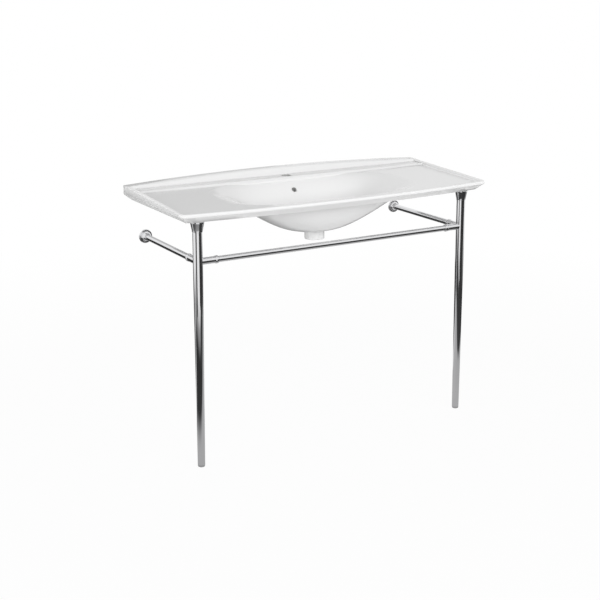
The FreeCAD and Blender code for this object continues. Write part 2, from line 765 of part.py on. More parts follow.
def wall_anchor():
    """Wall plate with two countersunk holes and the spigot that holds a side rail, along +Z."""
    plate = cylinder(ANCHOR_DIAMETER, 0, ANCHOR_THICKNESS)
    spigot = cylinder(SPIGOT_DIAMETER, 0, ANCHOR_THICKNESS + SPIGOT_LENGTH)
    spigot = spigot.makeChamfer(PLAY, [spigot.Edges[0]])
    body = plate.fuse(spigot)
    sink = (ANCHOR_SINK_DIAMETER - ANCHOR_HOLE_DIAMETER) / 2
    for side in SIDES.values():
        place = V(side * ANCHOR_HOLE_SPACING / 2, 0, 0)
        hole = cylinder(ANCHOR_HOLE_DIAMETER, -PLAY, ANCHOR_THICKNESS + PLAY, place)
        countersink = Part.makeCone(
            ANCHOR_HOLE_DIAMETER / 2,
            ANCHOR_SINK_DIAMETER / 2,
            sink,
            place + V(0, 0, ANCHOR_THICKNESS - sink),
        )
        body = body.cut([hole, countersink])
    return body


def wall_flange():
    """Domed cover that hides the anchor and slides on the rail, along +Z from the wall."""
    rim = FLANGE_DIAMETER / 2
    dome = FLANGE_DOME_DIAMETER / 2
    nose = FLANGE_NOSE_DIAMETER / 2
    bore = RAIL_DIAMETER / 2 + SLIDE_CLEARANCE
    wall = FLANGE_WALL
    shoulder = FLANGE_RIM + PLAY
    height = FLANGE_DEPTH - PLAY - shoulder
    centre_z = shoulder + (height ** 2 + nose ** 2 - dome ** 2) / (2 * height)
    middle_z = shoulder + height / 2
    bulge = (sqrt(dome ** 2 + (centre_z - shoulder) ** 2 - (middle_z - centre_z) ** 2), middle_z)
    return turned([
        (rim - wall, 0),
        (rim, 0),
        (rim, FLANGE_RIM / 2),
        ((rim - PLAY / 2, FLANGE_RIM - PLAY / 2), (rim - FLANGE_RIM / 2, FLANGE_RIM)),
        (dome, shoulder),
        (bulge, (nose, FLANGE_DEPTH - PLAY)),
        (nose, FLANGE_DEPTH),
        (bore, FLANGE_DEPTH),
        (bore, FLANGE_DEPTH - 2 * wall),
        (dome - 2 * wall, shoulder + PLAY),
        (dome - 2 * wall, FLANGE_RIM - wall),
        (rim - wall, FLANGE_RIM - wall),
    ])


# ---- assembly ------------------------------------------------------------------------------------


def leg_nodes(name, side):
    """Everything that stands on one leg's axis."""
    place = V(side * LEG_SPACING / 2, LEG_Y, 0)
    shapes = {
        "leg_tube": leg_tube(),
        "leg_cup": leg_cup(),
        "cup_pad": cup_pad(),
        "cup_stud": cup_stud(),
        "cup_nut": cup_nut(),
        "leg_top_insert": top_insert(),
        "leg_bottom_insert": bottom_insert(),
        "levelling_foot": levelling_foot(),
        "foot_glide": foot_glide(),
    }
    return {name + "_" + key: laid(shape, place, Z_AXIS) for key, shape in shapes.items()}


def rail_end_nodes(name, side):
    """Sockets and rings on one leg, and the side rail with its wall end."""
    at_leg = V(side * LEG_SPACING / 2, LEG_Y, RAIL_Z)
    at_wall = V(side * LEG_SPACING / 2, WALL_Y, RAIL_Z)
    inward = X_AXIS * -side
    side_length = LEG_SETBACK - RAIL_END - ANCHOR_THICKNESS
    return {
        name + "_front_socket": facing_down(socket(), at_leg, inward),
        name + "_front_ring": facing_down(ring(), at_leg, inward),
        name + "_side_socket": facing_down(socket(), at_leg, Y_AXIS),
        name + "_side_ring": facing_down(ring(), at_leg, Y_AXIS),
        name + "_side_rail": laid(tube(side_length), at_leg + Y_AXIS * RAIL_END, Y_AXIS),
        name + "_wall_anchor": laid(wall_anchor(), at_wall, Y_AXIS * -1),
        name + "_wall_flange": laid(wall_flange(), at_wall, Y_AXIS * -1),
    }


def facing_down(shape, place, direction):
    """A socket piece laid along direction with its own +Y, where the grub screw is, turned down."""
    sideways = Z_AXIS.cross(direction)
    turn = FreeCAD.Rotation(sideways * -1, Z_AXIS * -1, direction, "ZYX")
    moved = shape.copy()
    moved.Placement = FreeCAD.Placement(place, turn)
    return moved


def grub_screws():
    """The four grub screws of the sockets."""
    screws = []
    for side in SIDES.values():
        at_leg = V(side * LEG_SPACING / 2, LEG_Y, RAIL_Z)
        screws.append(facing_down(grub_screw(), at_leg, X_AXIS * -side))
        screws.append(facing_down(grub_screw(), at_leg, Y_AXIS))
    return Part.makeCompound(screws)


def front_rail():
    """Towel rail between the two front sockets."""
    start = V(-LEG_SPACING / 2 + RAIL_END, LEG_Y, RAIL_Z)
    return laid(tube(LEG_SPACING - 2 * RAIL_END), start, X_AXIS)


def assembly():
    """Every node of the sink by name."""
    nodes = {"basin": basin(), "front_rail": front_rail(), "socket_grub_screws": grub_screws()}
    for name, side in SIDES.items():
        nodes.update(leg_nodes(name, side))
        nodes.update(rail_end_nodes(name, side))
    return nodes


def main():
    """Write one STEP file for each node."""
    os.makedirs("parts", exist_ok=True)
    for name, shape in assembly().items():
        shape.exportStep("parts/" + name + ".step")
        box = shape.BoundBox
        low = [round(value, 2) for value in (box.XMin, box.YMin, box.ZMin)]
        high = [round(value, 2) for value in (box.XMax, box.YMax, box.ZMax)]
        print(name, len(shape.Solids), shape.isValid(), round(shape.Volume, 1), low, high)


main()
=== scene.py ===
"""Studio scene of a console sink: a wide glazed basin on two polished legs with a towel rail.

Lengths are metres in the CAD frame: X runs across the basin, +Y points at the wall and Z is up from
the floor. Every place and most sizes are read from the CAD nodes' boxes.
"""

import json
import logging
import math
from dataclasses import dataclass
from enum import Enum

import bpy
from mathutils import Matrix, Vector


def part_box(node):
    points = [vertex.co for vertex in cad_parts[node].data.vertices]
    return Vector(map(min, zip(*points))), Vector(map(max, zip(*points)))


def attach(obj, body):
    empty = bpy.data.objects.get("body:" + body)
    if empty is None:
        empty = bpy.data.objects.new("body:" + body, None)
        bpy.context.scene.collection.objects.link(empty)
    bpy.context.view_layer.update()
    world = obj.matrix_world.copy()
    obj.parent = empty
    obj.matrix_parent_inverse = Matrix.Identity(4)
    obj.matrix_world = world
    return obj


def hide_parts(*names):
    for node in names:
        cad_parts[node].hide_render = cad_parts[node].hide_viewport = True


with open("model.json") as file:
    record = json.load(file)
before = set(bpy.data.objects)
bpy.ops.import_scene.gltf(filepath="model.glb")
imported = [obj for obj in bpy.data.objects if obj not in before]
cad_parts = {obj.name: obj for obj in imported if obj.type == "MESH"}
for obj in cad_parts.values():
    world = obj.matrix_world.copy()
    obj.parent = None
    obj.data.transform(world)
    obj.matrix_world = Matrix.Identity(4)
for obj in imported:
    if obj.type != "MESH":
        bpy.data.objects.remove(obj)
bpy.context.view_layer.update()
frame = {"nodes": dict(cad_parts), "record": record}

LOG = logging.getLogger("console_sink")

MM = 0.001
WELD = 0.002 * MM
SEGMENTS = 96
EDGE_STEPS = 4
SMOOTH_ANGLE = math.radians(32)

UP = Vector((0, 0, 1))
ACROSS = Vector((1, 0, 0))
TO_WALL = Vector((0, 1, 0))
TO_FRONT = Vector((0, -1, 0))
WHITE = (1, 1, 1, 1)

Point = tuple[float, float]
Place = tuple[float, float, float]
Outline = list[Point]


class Side(Enum):
    """One of the two legs, with the sign of its X."""

    LEFT = -1
    RIGHT = 1

    def node(self, name: str) -> str:
        """Name of this side's copy of a CAD node."""
        return f"{self.name.lower()}_{name}"


class RailKind(Enum):
    """The two kinds of rail that leave a leg."""

    FRONT = "front"
    SIDE = "side"


class Slot(Enum):
    """Material slots of the part's record."""

    GLAZE = "glazed_ceramic"
    CHROME = "polished_chrome"
    STEEL = "plain_steel"
    BRASS = "insert_brass"
    PAD = "clear_pad"
    RUBBER = "foot_rubber"


# ---- colours and nodes ------------------------------------------------------------------------


def linear(code: str) -> tuple[float, float, float, float]:
    """Turn an sRGB hex colour into linear RGBA.

    Args:
        code: Colour as "#RRGGBB".

    Returns:
        Linear red, green and blue, with alpha 1.
    """
    channels = [int(code[at : at + 2], 16) / 255 for at in (1, 3, 5)]
    red, green, blue = [
        c / 12.92 if c <= 0.04045 else ((c + 0.055) / 1.055) ** 2.4 for c in channels
    ]
    return (red, green, blue, 1.0)


def add_node(
    tree: bpy.types.NodeTree,
    kind: str,
    values: dict[str | int, object] | None = None,
    links: dict[str | int, bpy.types.NodeSocket] | None = None,
    **settings: object,
) -> bpy.types.Node:
    """Add one node with its settings, input values and links.

    Args:
        tree: Node tree that gets the node.
        kind: Blender's type name of the node.
        values: Input values by socket name or number.
        links: Output sockets to link, by the name or number of the input they go to.
        settings: Properties of the node itself.

    Returns:
        The new node.
    """
    node = tree.nodes.new(kind)
    for name, value in settings.items():
        setattr(node, name, value)
    for name, value in (values or {}).items():
        node.inputs[name].default_value = value
    for name, socket in (links or {}).items():
        tree.links.new(socket, node.inputs[name])
    return node


def new_material(name: str) -> tuple[bpy.types.Material, bpy.types.NodeTree]:
    """Make an empty node material.

    Args:
        name: Name of the material.

    Returns:
        The material and its cleared node tree.
    """
    material = bpy.data.materials.new(name)
    material.use_nodes = True
    material.node_tree.nodes.clear()
    return material, material.node_tree


@dataclass(frozen=True)
class Finish:
    """A surface finish: two close colours in soft patches that also vary its gloss, and a relief.

    The noise reads Object coordinates, so its scales are real sizes on the part: patch_mm is the
    size of a patch, grain_mm the spacing of the relief and relief_mm its height.
    """

    name: str
    colour: str
    tint: str
    roughness: float
    roughness_spread: float
    patch_mm: float
    grain_mm: float
    relief_mm: float
    metallic: float = 0.0
    ior: float = 1.5
    noise_detail: float = 3.0

    def build(self) -> bpy.types.Material:
        """Make the material of this finish.

        Returns:
            The new material.
        """
        material, tree = new_material(self.name)
        place = add_node(tree, "ShaderNodeTexCoord").outputs["Object"]
        patches = self.noise(tree, place, self.patch_mm)
        grain = self.noise(tree, place, self.grain_mm)
        colour = add_node(
            tree,
            "ShaderNodeMix",
            {6: linear(self.colour), 7: linear(self.tint)},
            {0: patches},
            data_type="RGBA",
        )
        roughness = add_node(
            tree,
            "ShaderNodeMapRange",
            {"To Min": self.roughness, "To Max": self.roughness + self.roughness_spread},
            {"Value": patches},
        )
        height = self.relief_mm * MM
        relief = add_node(tree, "ShaderNodeBump", {"Distance": height}, {"Height": grain})
        shader = add_node(
            tree,
            "ShaderNodeBsdfPrincipled",
            {"Metallic": self.metallic, "IOR": self.ior},
            {
                "Base Color": colour.outputs[2],
                "Roughness": roughness.outputs[0],
                "Normal": relief.outputs[0],
            },
        )
        add_node(tree, "ShaderNodeOutputMaterial", links={"Surface": shader.outputs[0]})
        return material

    def noise(
        self, tree: bpy.types.NodeTree, place: bpy.types.NodeSocket, size_mm: float
    ) -> bpy.types.NodeSocket:
        """Soft noise whose patches are about one size.

        Args:
            tree: Node tree of the material.
            place: Coordinates that the noise reads.
            size_mm: Size of a patch in millimetres.

        Returns:
            The noise's value socket.
        """
        values = {"Scale": 1 / (size_mm * MM), "Detail": self.noise_detail}
        return add_node(tree, "ShaderNodeTexNoise", values, {"Vector": place}).outputs[0]


# Vitreous china, glazed and fired: thick, white and smooth, with a faint waviness. The waves are
# about 26 mm wide, as a sprayed glaze runs together, and a twentieth of a millimetre high. The tone
# drifts over 140 mm with the glaze's thickness.
GLAZE = Finish("white_vitreous_glaze", "#F4F4F4", "#F1F1F1", 0.09, 0.05,
               patch_mm=140, grain_mm=26, relief_mm=0.05, ior=1.52)
# The bare china of the punched holes, drawn pale grey and darker than bare china is, as painted
# shade inside the holes;
# dull and a little gritty. Its grit of a tenth of a millimetre is drawn 1.6 mm wide, so that it
# shows.
BORE_SHADE = Finish("bore_painted_shade", "#BDBDBC", "#B1B1B0", 0.72, 0.12,
                 patch_mm=16, grain_mm=1.6, relief_mm=0.03, ior=1.52)
# Decorative chromium, plated over polished brass: a cool neutral mirror with the faintest haze, in
# patches of 55 mm as a cloth leaves it. The 12 mm waves are what polishing leaves on a tube.
CHROME = Finish("polished_chromium_plate", "#E4E4E5", "#DEDEE0", 0.045, 0.035,
                patch_mm=55, grain_mm=12, relief_mm=0.0006, metallic=1.0)
# Zinc-plated steel, plated in a barrel: grey, fairly dull, mottled in patches of about 9 mm. The
# barrel's knocks, under half a millimetre wide, are drawn at 1.2 mm, so that they show.
STEEL = Finish("zinc_plated_steel", "#B4B6B8", "#A3A6A9", 0.32, 0.14,
               patch_mm=9, grain_mm=1.2, relief_mm=0.01, metallic=1.0)
# Turned brass: yellow and satin. Tool marks 0.2 mm apart are drawn at 0.8 mm, so that they show.
BRASS = Finish("turned_brass", "#C9A45C", "#BC9650", 0.26, 0.12,
               patch_mm=12, grain_mm=0.8, relief_mm=0.01, metallic=1.0)
# Low-density polyethylene, moulded: a milky, waxy washer between metal and glaze, with the 2 mm
# ripples of the melt's flow.
PAD = Finish("milky_polyethylene", "#DADBD8", "#CFD0CC", 0.42, 0.12,
             patch_mm=18, grain_mm=2.0, relief_mm=0.02, ior=1.51)
# Nitrile rubber, moulded: dark, matt, slightly chalky. The mould's grain of a third of a millimetre
# is drawn at 1.5 mm, so that it shows.
RUBBER = Finish("nitrile_rubber", "#3A3A3C", "#454547", 0.62, 0.16,
                patch_mm=14, grain_mm=1.5, relief_mm=0.04, ior=1.52)

FINISHES = {
    Slot.GLAZE: GLAZE,
    Slot.CHROME: CHROME,
    Slot.STEEL: STEEL,
    Slot.BRASS: BRASS,
    Slot.PAD: PAD,
    Slot.RUBBER: RUBBER,
}


class Paintbox:
    """Builds each finish once and lays it on pieces."""

    def __init__(self) -> None:
        """Build every material of the sink."""
        self.materials = {slot: finish.build() for slot, finish in FINISHES.items()}
        # The grey that paints the shade inside the punched holes.
        self.painted_bore_shade = BORE_SHADE.build()

    def dress(self, piece: bpy.types.Object, slot: Slot) -> None:
        """Give a piece the finish of one slot."""
        piece.data.materials.clear()
        piece.data.materials.append(self.materials[slot])

    def dress_cad(self) -> None:
        """Give every CAD node the finish of its own slot in the record."""
        for entry in frame["record"]["subparts"]:
            self.dress(frame["nodes"][entry["node"]], Slot(entry["material_slot"]))


# ---- bench work -------------------------------------------------------------------------------


def clear_selection() -> None:
    """Leave edit mode and deselect everything."""
    if bpy.context.object and bpy.context.object.mode != "OBJECT":
        bpy.ops.object.mode_set(mode="OBJECT")
    bpy.ops.object.select_all(action="DESELECT")


def pick(piece: bpy.types.Object) -> None:
    """Select one object alone and make it active.

    Args:
        piece: Object to select.
    """
    clear_selection()
    piece.select_set(True)
    bpy.context.view_layer.objects.active = piece


def arc(centre: Point, radius: float, start: float, end: float, steps: int) -> Outline:
    """Points of an arc in an outline of (radius, height) points.

    Args:
        centre: Centre of the arc.
        radius: Radius of the arc.
        start: First angle in degrees, counted from the outward direction.
        end: Last angle in degrees.
        steps: Number of straight steps.

    Returns:
        The points, both ends included.
    """
    angles = [math.radians(start + (end - start) * step / steps) for step in range(steps + 1)]
    return [(centre[0] + radius * math.cos(a), centre[1] + radius * math.sin(a)) for a in angles]


def lathe(name: str, outline: Outline, capped: bool = False) -> bpy.types.Object:
    """Turn an outline about Z: a circle extruded and resized from ring to ring.

    Args:
        name: Name of the new piece.
        outline: (radius, height) points. A closed outline makes a hollow ring.
        capped: Whether the first and last ring are filled, and the outline stays open.

    Returns:
        The new piece, standing on the origin's axis.
    """
    clear_selection()
    rings = outline if capped else outline + [outline[0]]
    radius, height = rings[0]
    bpy.ops.mesh.primitive_circle_add(vertices=SEGMENTS, radius=radius, location=(0, 0, height))
    piece = bpy.context.object
    piece.name = name
    bpy.ops.object.transform_apply(location=True, rotation=False, scale=False)
    bpy.ops.object.mode_set(mode="EDIT")
    bpy.ops.mesh.select_mode(type="VERT")
    bpy.ops.mesh.select_all(action="SELECT")
    if capped:
        bpy.ops.mesh.edge_face_add()
    for next_radius, next_height in rings[1:]:
        rise = {"value": (0, 0, next_height - height)}
        bpy.ops.mesh.extrude_region_move(TRANSFORM_OT_translate=rise)
        share = next_radius / radius
        bpy.ops.transform.resize(value=(share, share, 1), center_override=(0, 0, next_height))
        radius, height = next_radius, next_height
    bpy.ops.mesh.select_all(action="SELECT")
    bpy.ops.mesh.remove_doubles(threshold=WELD)
    bpy.ops.mesh.normals_make_consistent(inside=False)
    bpy.ops.object.mode_set(mode="OBJECT")
    bpy.ops.object.shade_smooth_by_angle(angle=SMOOTH_ANGLE)
    return piece


def lay(piece: bpy.types.Object, start: Vector, direction: Vector) -> None:
    """Turn a piece made along +Z so that it points along a direction, and apply its place.

    Args:
        piece: Piece that stands on the origin.
        start: Where its origin goes.
        direction: Where its +Z goes.
    """
    pick(piece)
    piece.rotation_mode = "QUATERNION"
    piece.rotation_quaternion = UP.rotation_difference(direction)
    piece.location = start
    bpy.ops.object.transform_apply(location=True, rotation=True, scale=False)


def cut_round(
    piece: bpy.types.Object, radius: float, length: float, centre: Vector, axis: Vector
) -> None:
    """Cut a round bar's shape out of a piece.

    Args:
        piece: Piece to cut.
        radius: Radius of the bar.
        length: Length of the bar.
        centre: Middle of the bar.
        axis: Direction of the bar.
    """
    clear_selection()
    bpy.ops.mesh.primitive_cylinder_add(vertices=SEGMENTS, radius=radius, depth=length)
    cutter = bpy.context.object
    lay(cutter, centre, axis)
    pick(piece)
    cut = piece.modifiers.new("saddle", "BOOLEAN")
    cut.operation = "DIFFERENCE"
    cut.solver = "EXACT"
    cut.object = cutter
    bpy.ops.object.modifier_apply(modifier=cut.name)
    bpy.ops.object.shade_smooth_by_angle(angle=SMOOTH_ANGLE)
    bpy.data.objects.remove(cutter)


def middle(node: str) -> Vector:
    """Centre of a CAD node's box."""
    low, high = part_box(node)
    return (low + high) / 2


def round_radius(node: str, axis: str = "x") -> float:
    """Outside radius of a round CAD node, from its box's size along one axis."""
    low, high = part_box(node)
    return (getattr(high, axis) - getattr(low, axis)) / 2


def quarter(rim: float, low: float, edge: float) -> Outline:
    """Rounded lower outer edge of an outline, from its underside up to its side."""
    return arc((rim - edge, low + edge), edge, -90, 0, EDGE_STEPS)


def finish_piece(
    piece: bpy.types.Object, node: str, body: str, slot: Slot, paint: Paintbox
) -> None:
    """Dress a piece, let it ride on its body and stand for its CAD node.

    Args:
        piece: Finished piece, in place.
        node: CAD node that it stands for.
        body: Body that it rides on.
        slot: Material slot of its finish.
        paint: Materials of the sink.
    """
    paint.dress(piece, slot)
    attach(piece, body)
    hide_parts(node)
    LOG.info("%s: %d faces", piece.name, len(piece.data.polygons))


# ---- the basin --------------------------------------------------------------------------------


@dataclass(frozen=True)
class BowlSurface:
    """Inner or outer surface of the bowl, as a height over the plan.

    Its level lines are circles at the floor and square up towards the rim, where they tilt with the
    deck. The sizes repeat the CAD's own, in metres.
    """

    swell: float = 0.0
    drop: float = 0.0
    centre_y: float = -17.5 * MM
    half_width: float = 395 * MM
    half_depth: float = 190 * MM
    floor_radius: float = 45 * MM
    floor_z: float = 728 * MM
    rim_z: float = 859.86 * MM
    spare: float = 0.8 * MM
    slope: float = 13.5 / 365
    corner_power: float = 3.2
    halvings: int = 20

    def fullness(self, x: float, y: float, level: float) -> float:
        """How far out a place of the plan lies, measured by one level line of the bowl.

        Args:
            x: Place across the basin.
            y: Place between front and wall.
            level: The level line, from 0 at the floor to 1 at the rim.

        Returns:
            1 on the line, less inside it and more outside.
        """
        half_x = self.floor_radius + (self.half_width - self.floor_radius) * level + self.swell
        half_y = self.floor_radius + (self.half_depth - self.floor_radius) * level + self.swell
        power = 2 + (self.corner_power - 2) * min(1.0, 2 * level)
        return (abs(x) / half_x) ** power + (abs(y - self.centre_y) / half_y) ** power

    def height(self, x: float, y: float) -> float | None:
        """Height of the surface at a place of the plan.

        Args:
            x: Place across the basin.
            y: Place between front and wall.

        Returns:
            The height, or None over the flat floor and outside the rim.
        """
        if self.fullness(x, y, 0) < 1 or self.fullness(x, y, 1) > 1:
            return None
        low, high = 0.0, 1.0
        for _ in range(self.halvings):
            level = (low + high) / 2
            if self.fullness(x, y, level) > 1:
                low = level
            else:
                high = level
        rise = (1 - math.cos(math.pi * level)) / 2
        tilt = self.slope * rise * (y - self.centre_y)
        inner = self.floor_z + (self.rim_z - self.floor_z) * rise + self.spare * level
        return inner - self.drop + tilt


@dataclass(frozen=True)
class Bore:
    """A hole punched in the casting, whose wall is drawn grey as painted shade inside the hole.

    A face within slack of the hole's cylinder is its wall, if it leans less than most_tilt to it.
    """

    mouth: Place
    inward: Place
    radius: float
    depth: float = 30 * MM
    slack: float = 0.3 * MM
    most_tilt: float = 0.3

    def holds(self, place: Vector, way: Vector) -> bool:
        """Whether a face is part of the hole's wall.

        Args:
            place: Centre of the face.
            way: Normal of the face.

        Returns:
            True for a face of the wall.
        """
        axis = Vector(self.inward).normalized()
        offset = place - Vector(self.mouth)
        along = offset.dot(axis)
        across = (offset - axis * along).length
        inside = -self.slack < along < self.depth and across < self.radius + self.slack
        return inside and abs(way.dot(axis)) < self.most_tilt


@dataclass
class Basin:
    """The glazed casting, taken from the CAD node, welded, refined over the bowl and softened.

    Points within reach of the bowl's surface are moved onto it, once its edges are no longer than a
    cell. The sizes of the upstand repeat the CAD's own.
    """

    paint: Paintbox
    reach: float = 0.7 * MM
    cell: float = 9 * MM
    rounds: int = 4
    even_weight: int = 50
    wall: float = 12 * MM
    wall_y: float = 252.5 * MM
    ledge_z: float = 873 * MM
    lip_z: float = 881 * MM
    arch_z: float = 899 * MM
    upstand_foot: float = 44 * MM
    upstand_top: float = 26 * MM
    half_width: float = 600 * MM
    top_round: float = 7 * MM
    top_steps: int = 5
    face_slack: float = 0.2 * MM
    edge_slack: float = 0.1 * MM
    flat_angle: float = math.radians(0.5)
    # The tap hole, the overflow hole and the two holes for the wall bolts.
    bores: tuple[Bore, ...] = (
        Bore((0, 182.5 * MM, 873 * MM), (0, 0, -1), 17.5 * MM),
        Bore((0, 123.2 * MM, 830 * MM), (0, 1.278, -1), 10 * MM),
        Bore((-410 * MM, 252.5 * MM, 800 * MM), (0, -1, 0), 7 * MM),
        Bore((410 * MM, 252.5 * MM, 800 * MM), (0, -1, 0), 7 * MM),
    )

    def build(self) -> None:
        """Copy, weld and soften the casting, then put it in the frame."""
        source = frame["nodes"]["basin"]
        piece = bpy.data.objects.new("basin_casting", source.data.copy())
        bpy.context.scene.collection.objects.link(piece)
        pick(piece)
        bpy.ops.object.mode_set(mode="EDIT")
        bpy.ops.mesh.select_all(action="SELECT")
        bpy.ops.mesh.remove_doubles(threshold=WELD)
        bpy.ops.object.mode_set(mode="OBJECT")
        self.refine(piece, BowlSurface())
        self.refine(piece, BowlSurface(swell=self.wall, drop=self.wall))
        self.round_upstand(piece)
        pick(piece)
        bpy.ops.object.shade_smooth_by_angle(angle=SMOOTH_ANGLE)
        weighted = piece.modifiers.new("even_shading", "WEIGHTED_NORMAL")
        weighted.mode = "FACE_AREA"
        weighted.weight = self.even_weight
        weighted.keep_sharp = True
        bpy.ops.object.modifier_apply(modifier=weighted.name)
        finish_piece(piece, "basin", "stand", Slot.GLAZE, self.paint)
        self.paint_bore_shade(piece)

    def paint_bore_shade(self, piece: bpy.types.Object) -> None:
        """Paint the walls of the tap hole, the overflow hole and the bolt holes grey, as painted
        shade inside them.

        Args:
            piece: The casting.
        """
        # The second slot holds the grey of the painted shade in the holes.
        piece.data.materials.append(self.paint.painted_bore_shade)
        for face in piece.data.polygons:
            if any(bore.holds(face.center, face.normal) for bore in self.bores):
                face.material_index = 1

    def upstand_y(self, height: float) -> float:
        """Place of the upstand's leaning front at a height."""
        lean = (self.upstand_foot - self.upstand_top) / (self.arch_z - self.ledge_z)
        return self.wall_y - self.upstand_foot + lean * (height - self.ledge_z)

    def arch_height(self, x: float) -> float:
        """Height of the upstand's arched top.

        Args:
            x: Place across the basin.

        Returns:
            The height there.
        """
        rise = self.arch_z - self.lip_z
        radius = (self.half_width**2 + rise**2) / (2 * rise)
        return self.arch_z - radius + math.sqrt(radius**2 - x**2)

    def round_upstand(self, piece: bpy.types.Object) -> None:
        """Round the upstand's top front edge, less and less towards its low ends.

        Args:
            piece: The casting.
        """
        mesh = piece.data
        back = self.upstand_foot - self.upstand_top
        lean = Vector((0, self.ledge_z - self.arch_z, back)).normalized()
        pick(piece)
        bpy.ops.object.mode_set(mode="EDIT")
        bpy.ops.mesh.select_mode(type="FACE")
        bpy.ops.mesh.select_all(action="DESELECT")
        bpy.ops.object.mode_set(mode="OBJECT")
        for face in mesh.polygons:
            beside = abs(face.center.y - self.upstand_y(face.center.z)) < self.face_slack
            face.select = beside and face.normal.dot(lean) > math.cos(self.flat_angle)
        bpy.ops.object.mode_set(mode="EDIT")
        bpy.ops.mesh.dissolve_limited(angle_limit=self.flat_angle)
        bpy.ops.object.mode_set(mode="OBJECT")
        weights = mesh.attributes.new("bevel_weight_edge", "FLOAT", "EDGE")
        for edge in mesh.edges:
            ends = [mesh.vertices[point].co for point in edge.vertices]
            on_front = all(abs(end.y - self.upstand_y(end.z)) < self.edge_slack for end in ends)
            on_arch = all(abs(end.z - self.arch_height(end.x)) < self.face_slack for end in ends)
            if on_front and on_arch:
                rise = min(end.z for end in ends) - self.lip_z
                weights.data[edge.index].value = min(1.0, rise / self.top_round)
        bevel = piece.modifiers.new("top_round", "BEVEL")
        bevel.limit_method = "WEIGHT"
        bevel.width = self.top_round
        bevel.segments = self.top_steps
        bevel.use_clamp_overlap = False
        bpy.ops.object.modifier_apply(modifier=bevel.name)

    def refine(self, piece: bpy.types.Object, surface: BowlSurface) -> None:
        """Divide the long edges of one side of the bowl and bring its points onto the true surface.

        Args:
            piece: The casting.
            surface: Surface that this side of the bowl follows.
        """
        mesh = piece.data
        for _ in range(self.rounds):
            pick(piece)
            near = self.near(mesh, surface)
            bpy.ops.object.mode_set(mode="EDIT")
            bpy.ops.mesh.select_mode(type="EDGE")
            bpy.ops.mesh.select_all(action="DESELECT")
            bpy.ops.object.mode_set(mode="OBJECT")
            points = mesh.vertices
            for edge in mesh.edges:
                first, last = edge.vertices
                long = (points[first].co - points[last].co).length > self.cell
                edge.select = long and first in near and last in near
            bpy.ops.object.mode_set(mode="EDIT")
            bpy.ops.mesh.subdivide(number_cuts=1, smoothness=0)
            bpy.ops.mesh.quads_convert_to_tris()
            bpy.ops.object.mode_set(mode="OBJECT")
        heights = self.near(mesh, surface)
        border = set()
        for edge in mesh.edges:
            if any(point not in heights for point in edge.vertices):
                border.update(edge.vertices)
        for point, height in heights.items():
            if point not in border:
                mesh.vertices[point].co.z = height

    def near(self, mesh: bpy.types.Mesh, surface: BowlSurface) -> dict[int, float]:
        """Points of a mesh that lie on one side of the bowl.

        Args:
            mesh: Mesh of the casting.
            surface: Surface that this side of the bowl follows.

        Returns:
            The surface's height at each such point, by the point's number.
        """
        found = {}
        for point in mesh.vertices:
            height = surface.height(point.co.x, point.co.y)
            if height is not None and abs(height - point.co.z) < self.reach:
                found[point.index] = height
        return found


# ---- a leg and what stands on its axis --------------------------------------------------------


